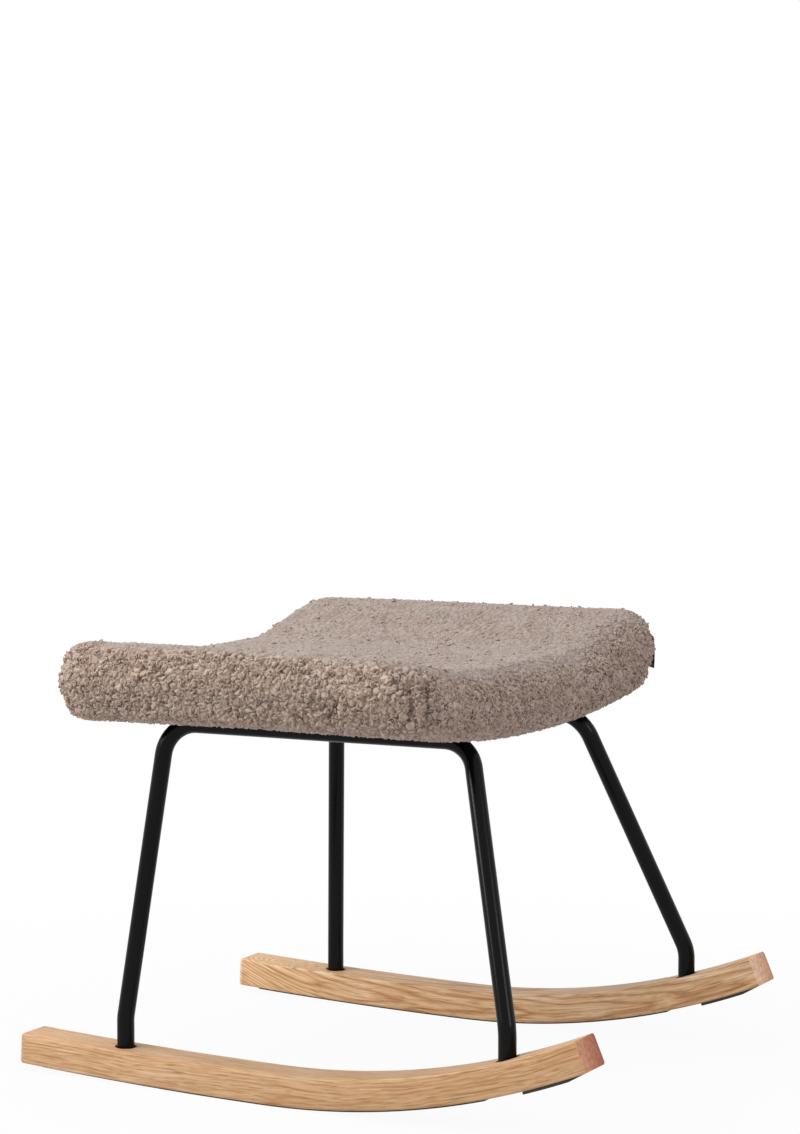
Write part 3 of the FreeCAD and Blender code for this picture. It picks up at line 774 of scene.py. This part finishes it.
def lower_radius(y):
    """Rounding of the seat's lower edge, which is drawn in further on the left side."""
    leftness = min(1.0, max(0.0, y / seat_half_width))
    side = side_lower + (left_lower - side_lower) * leftness ** 2
    return side + (max(side, end_lower) - side) * end_share(y)


def seat_rings():
    """Rings of points from the middle of the top, over the edge, under the shell and back inside."""
    count = 176
    inner = 0.170
    lip_round = 0.004
    rings = []
    for share in np.linspace(0, 1, 30):
        inset = inner * (1 - share) ** 1.6
        rings.append((inset, lambda x, y, i=inset: seat_top(x, y) - fallen(shoulder_radius(y), i)))
    for share in np.linspace(0, 1, 12)[1:-1]:
        out = seat_swell * math.sin(math.pi * share)
        rings.append((-out, lambda x, y, s=share: (seat_top(x, y) - shoulder_radius(y)) * (1 - s)
                      + (seat_low(x, y) + lower_radius(y)) * s))
    for share in np.linspace(0, 1, 14):
        inset = (seat_wrap - lip_round) * share
        rings.append((inset, lambda x, y, i=inset: seat_low(x, y) + fallen(lower_radius(y), i)))
    for share in np.linspace(0, 1, 5)[1:]:
        inset = seat_wrap - lip_round * (1 - share)
        rings.append((inset, lambda x, y, s=share: seat_low(x, y) + fallen(lip_round, lip_round * (1 - s))))
    for share in np.linspace(0, 1, 16):
        inset = seat_wrap + (inner - seat_wrap) * share
        rings.append((inset, lambda x, y: dish_z(y, seat_bottom_radius) + shell_middle_lift))
    points = [(x, y, height(x, y)) for inset, height in rings for x, y in seat_outline(inset, count)]
    return points, count


# Foam pad
# Cut polyurethane foam, glued to the shell's upper face and rounded over its edges.
foam_inset = 0.012
foam_cover = 0.009
foam, foam_tree, foam_shader = new_material("cut_polyurethane_foam")
foam_place = add_node(foam_tree, "ShaderNodeTexCoord")
foam_cells = add_node(foam_tree, "ShaderNodeTexVoronoi", {"Vector": foam_place.outputs["Object"], "Scale": 700.0})
foam_tone = ramp_node(foam_tree, foam_cells.outputs["Distance"], [(0.1, "cfc48f"), (0.6, "ece3b8")])
foam_bump = add_node(foam_tree, "ShaderNodeBump", {"Height": foam_cells.outputs["Distance"], "Strength": 0.4, "Distance": 0.0004})
foam_tree.links.new(foam_tone.outputs[0], foam_shader.inputs["Base Color"])
foam_tree.links.new(foam_bump.outputs[0], foam_shader.inputs["Normal"])
foam_shader.inputs["Roughness"].default_value = 0.95
foam_rings = []
for share in np.linspace(0, 1, 26):
    inset = foam_inset + (core_inset - foam_inset) * (1 - share) ** 1.6
    foam_rings.append((inset, lambda x, y, i=inset: seat_top(x, y) - foam_cover - fallen(shoulder_radius(y), i - foam_inset)))
foam_floor = shell_low_radius - shell_thickness
for share in np.linspace(0, 1, 6)[1:]:
    foam_rings.append((foam_inset, lambda x, y, s=share: (seat_top(x, y) - foam_cover - shoulder_radius(y)) * (1 - s)
                       + dish_z(y, foam_floor) * s))
for inset in np.linspace(foam_inset, core_inset, 18)[1:]:
    foam_rings.append((inset, lambda x, y: dish_z(y, foam_floor)))
foam_pad = dished_piece("foam_pad", foam_rings, foam)
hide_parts("seat_foam")
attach(foam_pad, "root")


# Teddy fleece: a knitted polyester pile steamed into curls. The sides show clumps 5 to 8 mm
# across, and the sat-on top is flatter. The colour is painted dark in the gaps between clumps (painted shade) and pale
# on their crests (painted highlight), and both are weaker on the top.
clump_width = 0.0066
curl_width = 0.0029
fibre_width = 0.0010


def pile_pattern(tree, place):
    """Adds the fleece's pattern to a tree: its height from 0 to 1 at a place."""
    warp = add_node(tree, "ShaderNodeTexNoise", {"Vector": place, "Scale": 170.0, "Detail": 3.0})
    centred = add_node(tree, "ShaderNodeVectorMath", {0: warp.outputs["Color"], 1: (0.5, 0.5, 0.5)}, operation="SUBTRACT")
    bent = add_node(tree, "ShaderNodeVectorMath", {0: centred.outputs[0], 1: (0.0110, 0.0110, 0.0110), 2: place}, operation="MULTIPLY_ADD")
    clump_cells = {"Vector": bent.outputs[0], "Scale": 1 / clump_width, "Randomness": 1.0}
    gap = add_node(tree, "ShaderNodeTexVoronoi", clump_cells, feature="DISTANCE_TO_EDGE")
    cell = add_node(tree, "ShaderNodeTexVoronoi", clump_cells, feature="F1")
    tint = add_node(tree, "ShaderNodeSeparateXYZ", {0: cell.outputs["Color"]})
    dome = add_node(tree, "ShaderNodeMapRange", {"Value": gap.outputs["Distance"], "From Min": 0.0, "From Max": 0.19}, interpolation_type="SMOOTHSTEP")
    raised = add_node(tree, "ShaderNodeMath", {0: tint.outputs[0], 1: 0.22, 2: 0.78}, operation="MULTIPLY_ADD")
    clumps = add_node(tree, "ShaderNodeMath", {0: dome.outputs[0], 1: raised.outputs[0]}, operation="MULTIPLY")
    curls = add_node(tree, "ShaderNodeTexVoronoi", {"Vector": bent.outputs[0], "Scale": 1 / curl_width, "Randomness": 1.0}, feature="F1")
    curl_dome = add_node(tree, "ShaderNodeMapRange", {"Value": curls.outputs["Distance"], "From Min": 0.85, "From Max": 0.1})
    fibres = add_node(tree, "ShaderNodeTexNoise", {"Vector": bent.outputs[0], "Scale": 1 / fibre_width, "Detail": 1.0})
    broad = add_node(tree, "ShaderNodeTexNoise", {"Vector": place, "Scale": 75.0, "Detail": 2.0})
    loose = add_node(tree, "ShaderNodeMapRange", {"Value": broad.outputs["Fac"], "From Min": 0.38, "From Max": 0.6, "To Min": 0.27, "To Max": 0.46})
    sunk = add_node(tree, "ShaderNodeMath", {0: 1.0, 1: clumps.outputs[0]}, operation="SUBTRACT")
    dug = add_node(tree, "ShaderNodeMath", {0: sunk.outputs[0], 1: loose.outputs[0]}, operation="MULTIPLY")
    first = add_node(tree, "ShaderNodeMath", {0: 0.62, 1: dug.outputs[0]}, operation="SUBTRACT")
    second = add_node(tree, "ShaderNodeMath", {0: curl_dome.outputs[0], 1: 0.30, 2: first.outputs[0]}, operation="MULTIPLY_ADD")
    third = add_node(tree, "ShaderNodeMath", {0: fibres.outputs["Fac"], 1: 0.30, 2: second.outputs[0]}, operation="MULTIPLY_ADD")
    return third.outputs[0]


fleece, fleece_tree, fleece_shader = new_material("curly_teddy_fleece")
fleece_place = add_node(fleece_tree, "ShaderNodeAttribute", attribute_name="pile_place")
fleece_top = add_node(fleece_tree, "ShaderNodeAttribute", attribute_name="pile_top")
fleece_height = pile_pattern(fleece_tree, fleece_place.outputs["Vector"])
# Painted shade and highlight: by the pile's height, the tone runs from dark in the low gaps between clumps to pale on
# the crests.
fleece_side_tone_painted_shade = ramp_node(fleece_tree, fleece_height, [(0.22, "4d3f36"), (0.42, "7d6b5e"), (0.62, "a79486"), (0.82, "b7a596"), (1.0, "c5b5a8")])
fleece_top_tone_painted_shade = ramp_node(fleece_tree, fleece_height, [(0.3, "6d5f55"), (0.48, "8a7d73"), (0.68, "9a8d83"), (0.95, "a69a91")])
fleece_base = add_node(fleece_tree, "ShaderNodeMix", {0: fleece_top.outputs["Fac"], 6: fleece_side_tone_painted_shade.outputs[0], 7: fleece_top_tone_painted_shade.outputs[0]}, data_type="RGBA")
fleece_cloud = add_node(fleece_tree, "ShaderNodeTexNoise", {"Vector": fleece_place.outputs["Vector"], "Scale": 45.0, "Detail": 3.0})
fleece_cloud_tone = ramp_node(fleece_tree, fleece_cloud.outputs["Fac"], [(0.35, "f3edea"), (0.6, "ffffff")])
fleece_colour = add_node(fleece_tree, "ShaderNodeMix", {0: 1.0, 6: fleece_base.outputs[2], 7: fleece_cloud_tone.outputs[0]}, data_type="RGBA", blend_type="MULTIPLY")
fleece_bump = add_node(fleece_tree, "ShaderNodeBump", {"Height": fleece_height, "Strength": 0.5, "Distance": 0.0012})
fleece_tree.links.new(fleece_colour.outputs[2], fleece_shader.inputs["Base Color"])
fleece_tree.links.new(fleece_bump.outputs[0], fleece_shader.inputs["Normal"])
fleece_shader.inputs["Roughness"].default_value = 0.95
fleece_shader.inputs["Specular IOR Level"].default_value = 0.2
fleece_shader.inputs["Sheen Weight"].default_value = 0.2
fleece_shader.inputs["Sheen Roughness"].default_value = 0.5

# Loose curls of the same pile, standing out of the clumps: paler at their sunlit tips.
curl_locks, lock_tree, lock_shader = new_material("loose_fleece_curls")
lock_place = add_node(lock_tree, "ShaderNodeTexCoord")
lock_spots = add_node(lock_tree, "ShaderNodeTexNoise", {"Vector": lock_place.outputs["Object"], "Scale": 260.0, "Detail": 2.0})
lock_tone = ramp_node(lock_tree, lock_spots.outputs["Fac"], [(0.3, "938275"), (0.5, "ab998b"), (0.7, "beaea1")])
lock_tree.links.new(lock_tone.outputs[0], lock_shader.inputs["Base Color"])
lock_shader.inputs["Roughness"].default_value = 0.95
lock_shader.inputs["Specular IOR Level"].default_value = 0.2

seat_points, seat_count = seat_rings()
seat = new_piece("fleece_seat", seat_points, close_rings(len(seat_points) // seat_count, seat_count), fleece)
tidy = bmesh.new()
tidy.from_mesh(seat.data)
bmesh.ops.remove_doubles(tidy, verts=tidy.verts, dist=0.00005)
bmesh.ops.recalc_face_normals(tidy, faces=tidy.faces)
tidy.to_mesh(seat.data)
tidy.free()
voxels = seat.modifiers.new("voxels", "REMESH")
voxels.mode = "VOXEL"
voxels.voxel_size = 0.004
voxels.use_smooth_shade = True
settle(seat)
finer = seat.modifiers.new("finer", "SUBSURF")
finer.levels = 2
finer.render_levels = 2
settle(seat)

# Tucks where the cover is gathered at the corners and pulled over the foam: each is a crease
# at a place on the outline, with its depth, half width and the height where it fades out.
tucks = (
    ((0.138, -0.2385), 0.0056, 0.0026, 0.412),
    ((0.150, -0.2300), 0.0050, 0.0026, 0.408),
    ((0.066, -0.243), 0.0030, 0.0055, 0.384),
    ((0.163, -0.150), 0.0022, 0.0045, 0.378),
    ((0.163, -0.070), 0.0018, 0.0045, 0.372),
    ((0.163, 0.110), 0.0018, 0.0045, 0.378),
    ((-0.214, -0.232), 0.0035, 0.0040, 0.388),
    ((-0.214, 0.232), 0.0040, 0.0040, 0.388),
    ((0.128, 0.236), 0.0040, 0.0040, 0.386),
)
spots = np.zeros(len(seat.data.vertices) * 3, dtype=np.float32)
seat.data.vertices.foreach_get("co", spots)
spots = spots.reshape(-1, 3)
outward = np.zeros(len(seat.data.vertices) * 3, dtype=np.float32)
seat.data.vertex_normals.foreach_get("vector", outward)
outward = outward.reshape(-1, 3)
pull = np.zeros(len(spots), dtype=np.float32)
for (tuck_x, tuck_y), depth, half_width, fade_z in tucks:
    lean = 0.0015 * np.sin(spots[:, 2] * 260.0)
    away = np.hypot(spots[:, 0] - tuck_x - lean, spots[:, 1] - tuck_y)
    fade = np.clip((fade_z - spots[:, 2]) / 0.018, 0, 1)
    pull += depth * np.exp(-(away / half_width) ** 2) * fade
spots -= outward * pull[:, None]
seat.data.vertices.foreach_set("co", spots.reshape(-1))

pile_values = {
    "Side depth": 0.0056,
    "Top depth": 0.0036,
    "Locks per square metre": 60000.0,
    "Top locks per square metre": 5000.0,
    "Lock radius": 0.0015,
    "Lock thickness": 0.00065,
    "Finish": fleece,
    "Lock finish": curl_locks,
}
pile_tree, pile_inputs = geometry_tree("curly_pile", pile_values)
pile_in = add_node(pile_tree, "NodeGroupInput")
pile_place = add_node(pile_tree, "GeometryNodeInputPosition")
pile_normal = add_node(pile_tree, "GeometryNodeInputNormal")
pile_up = add_node(pile_tree, "ShaderNodeSeparateXYZ", {0: pile_normal.outputs[0]})
pile_top = add_node(pile_tree, "ShaderNodeMapRange", {"Value": pile_up.outputs["Z"], "From Min": 0.5, "From Max": 0.93}, interpolation_type="SMOOTHSTEP")
pile_keep = add_node(pile_tree, "GeometryNodeStoreNamedAttribute", {"Geometry": pile_in.outputs["Geometry"], "Name": "pile_place", "Value": pile_place.outputs[0]}, data_type="FLOAT_VECTOR", domain="POINT")
pile_keep_top = add_node(pile_tree, "GeometryNodeStoreNamedAttribute", {"Geometry": pile_keep.outputs[0], "Name": "pile_top", "Value": pile_top.outputs[0]}, data_type="FLOAT", domain="POINT")
pile_height = pile_pattern(pile_tree, pile_place.outputs[0])
pile_depth = add_node(pile_tree, "ShaderNodeMix", {0: pile_top.outputs[0], 2: pile_in.outputs["Side depth"], 3: pile_in.outputs["Top depth"]}, data_type="FLOAT")
pile_lift = add_node(pile_tree, "ShaderNodeMath", {0: pile_height, 1: 0.72}, operation="SUBTRACT")
pile_out = add_node(pile_tree, "ShaderNodeMath", {0: pile_lift.outputs[0], 1: pile_depth.outputs[0]}, operation="MULTIPLY")
pile_move = add_node(pile_tree, "ShaderNodeVectorMath", {0: pile_normal.outputs[0], "Scale": pile_out.outputs[0]}, operation="SCALE")
pile_keep_height = add_node(pile_tree, "GeometryNodeStoreNamedAttribute", {"Geometry": pile_keep_top.outputs[0], "Name": "pile_height", "Value": pile_height}, data_type="FLOAT", domain="POINT")
pile_shown = add_node(pile_tree, "ShaderNodeMapRange", {"Value": pile_up.outputs["Z"], "From Min": -0.85, "From Max": -0.55})
pile_keep_shown = add_node(pile_tree, "GeometryNodeStoreNamedAttribute", {"Geometry": pile_keep_height.outputs[0], "Name": "pile_shown", "Value": pile_shown.outputs[0]}, data_type="FLOAT", domain="POINT")
pile_set = add_node(pile_tree, "GeometryNodeSetPosition", {"Geometry": pile_keep_shown.outputs[0], "Offset": pile_move.outputs[0]})
pile_finish = add_node(pile_tree, "GeometryNodeSetMaterial", {"Geometry": pile_set.outputs[0], "Material": pile_in.outputs["Finish"]})
lock_side = add_node(pile_tree, "GeometryNodeInputNamedAttribute", {"Name": "pile_top"}, data_type="FLOAT")
lock_amount = add_node(pile_tree, "ShaderNodeMapRange", {"Value": lock_side.outputs[0], "From Min": 0.0, "From Max": 1.0, "To Min": pile_in.outputs["Locks per square metre"], "To Max": pile_in.outputs["Top locks per square metre"]})
lock_high = add_node(pile_tree, "GeometryNodeInputNamedAttribute", {"Name": "pile_height"}, data_type="FLOAT")
lock_crest = add_node(pile_tree, "ShaderNodeMapRange", {"Value": lock_high.outputs[0], "From Min": 0.64, "From Max": 0.82})
lock_crested = add_node(pile_tree, "ShaderNodeMath", {0: lock_amount.outputs[0], 1: lock_crest.outputs[0]}, operation="MULTIPLY")
lock_shown = add_node(pile_tree, "GeometryNodeInputNamedAttribute", {"Name": "pile_shown"}, data_type="FLOAT")
lock_density = add_node(pile_tree, "ShaderNodeMath", {0: lock_crested.outputs[0], 1: lock_shown.outputs[0]}, operation="MULTIPLY")
lock_points = add_node(pile_tree, "GeometryNodeDistributePointsOnFaces", {"Mesh": pile_finish.outputs[0], "Density": lock_density.outputs[0], "Seed": 11}, distribute_method="RANDOM")
lock_line = add_node(pile_tree, "GeometryNodeCurveArc", {"Resolution": 7, "Radius": pile_in.outputs["Lock radius"], "Sweep Angle": 4.6}, mode="RADIUS")
lock_round = add_node(pile_tree, "GeometryNodeCurvePrimitiveCircle", {"Resolution": 4, "Radius": pile_in.outputs["Lock thickness"]}, mode="RADIUS")
lock_shape = add_node(pile_tree, "GeometryNodeCurveToMesh", {"Curve": lock_line.outputs[0], "Profile Curve": lock_round.outputs[0], "Fill Caps": True})
lock_size = add_node(pile_tree, "FunctionNodeRandomValue", {2: 0.6, 3: 1.5, "Seed": 12}, data_type="FLOAT")
lock_placed = add_node(pile_tree, "GeometryNodeInstanceOnPoints", {"Points": lock_points.outputs["Points"], "Instance": lock_shape.outputs[0], "Rotation": lock_points.outputs["Rotation"], "Scale": lock_size.outputs[1]})
lock_turn = add_node(pile_tree, "FunctionNodeRandomValue", {0: (-0.6, -0.6, 0.0), 1: (0.6, 0.6, 6.28), "Seed": 13}, data_type="FLOAT_VECTOR")
lock_turned = add_node(pile_tree, "GeometryNodeRotateInstances", {"Instances": lock_placed.outputs[0], "Rotation": lock_turn.outputs[0], "Local Space": True})
lock_real = add_node(pile_tree, "GeometryNodeRealizeInstances", {"Geometry": lock_turned.outputs[0]})
lock_smooth = add_node(pile_tree, "GeometryNodeSetShadeSmooth", {"Geometry": lock_real.outputs[0], "Shade Smooth": True})
lock_finish = add_node(pile_tree, "GeometryNodeSetMaterial", {"Geometry": lock_smooth.outputs[0], "Material": pile_in.outputs["Lock finish"]})
pile_join = add_node(pile_tree, "GeometryNodeJoinGeometry")
pile_tree.links.new(lock_finish.outputs[0], pile_join.inputs[0])
pile_tree.links.new(pile_finish.outputs[0], pile_join.inputs[0])
add_node(pile_tree, "NodeGroupOutput", {"Geometry": pile_join.outputs[0]})
run_tree(seat, pile_tree, pile_inputs, pile_values)
seat.data.polygons.foreach_set("use_smooth", [True] * len(seat.data.polygons))
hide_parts("seat_cover")
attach(seat, "root")


# Corner patch
# A plain black woven tab, 1 mm thick, sewn flat to the fleece round the front left corner.
patch_low = 0.358
patch_high = 0.389
patch_from = math.radians(32)
patch_to = math.radians(84)
patch_lift = 0.0012
tab, tab_tree, tab_shader = new_material("black_woven_tab")
tab_place = add_node(tab_tree, "ShaderNodeTexCoord")
tab_weave = add_node(tab_tree, "ShaderNodeTexNoise", {"Vector": tab_place.outputs["Object"], "Scale": 1500.0, "Detail": 1.0})
tab_tone = ramp_node(tab_tree, tab_weave.outputs["Fac"], [(0.3, "0c0c0d"), (0.7, "19191b")])
tab_tree.links.new(tab_tone.outputs[0], tab_shader.inputs["Base Color"])
tab_shader.inputs["Roughness"].default_value = 0.7

patch_columns, patch_rows = 25, 9
patch_corner = corner_radii[(1, 1)]
patch_points = []
for row in range(patch_rows):
    share = row / (patch_rows - 1)
    bulge = seat_swell * math.sin(math.pi * (0.25 + 0.4 * (1 - share))) + patch_lift
    for column in range(patch_columns):
        angle = patch_from + (patch_to - patch_from) * column / (patch_columns - 1)
        reach = patch_corner + bulge
        patch_points.append((seat_front - patch_corner + reach * math.cos(angle),
                             seat_half_width - patch_corner + reach * math.sin(angle),
                             patch_low + (patch_high - patch_low) * share))
patch_faces = []
for row in range(patch_rows - 1):
    for column in range(patch_columns - 1):
        first = row * patch_columns + column
        patch_faces.append((first, first + 1, first + patch_columns + 1, first + patch_columns))
patch = new_piece("corner_patch", patch_points, patch_faces, tab)
wall = patch.modifiers.new("wall", "SOLIDIFY")
wall.thickness = 0.001
wall.offset = 0
settle(patch)
patch.data.set_sharp_from_angle(angle=math.radians(40))
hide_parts("seat_patch")
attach(patch, "root")
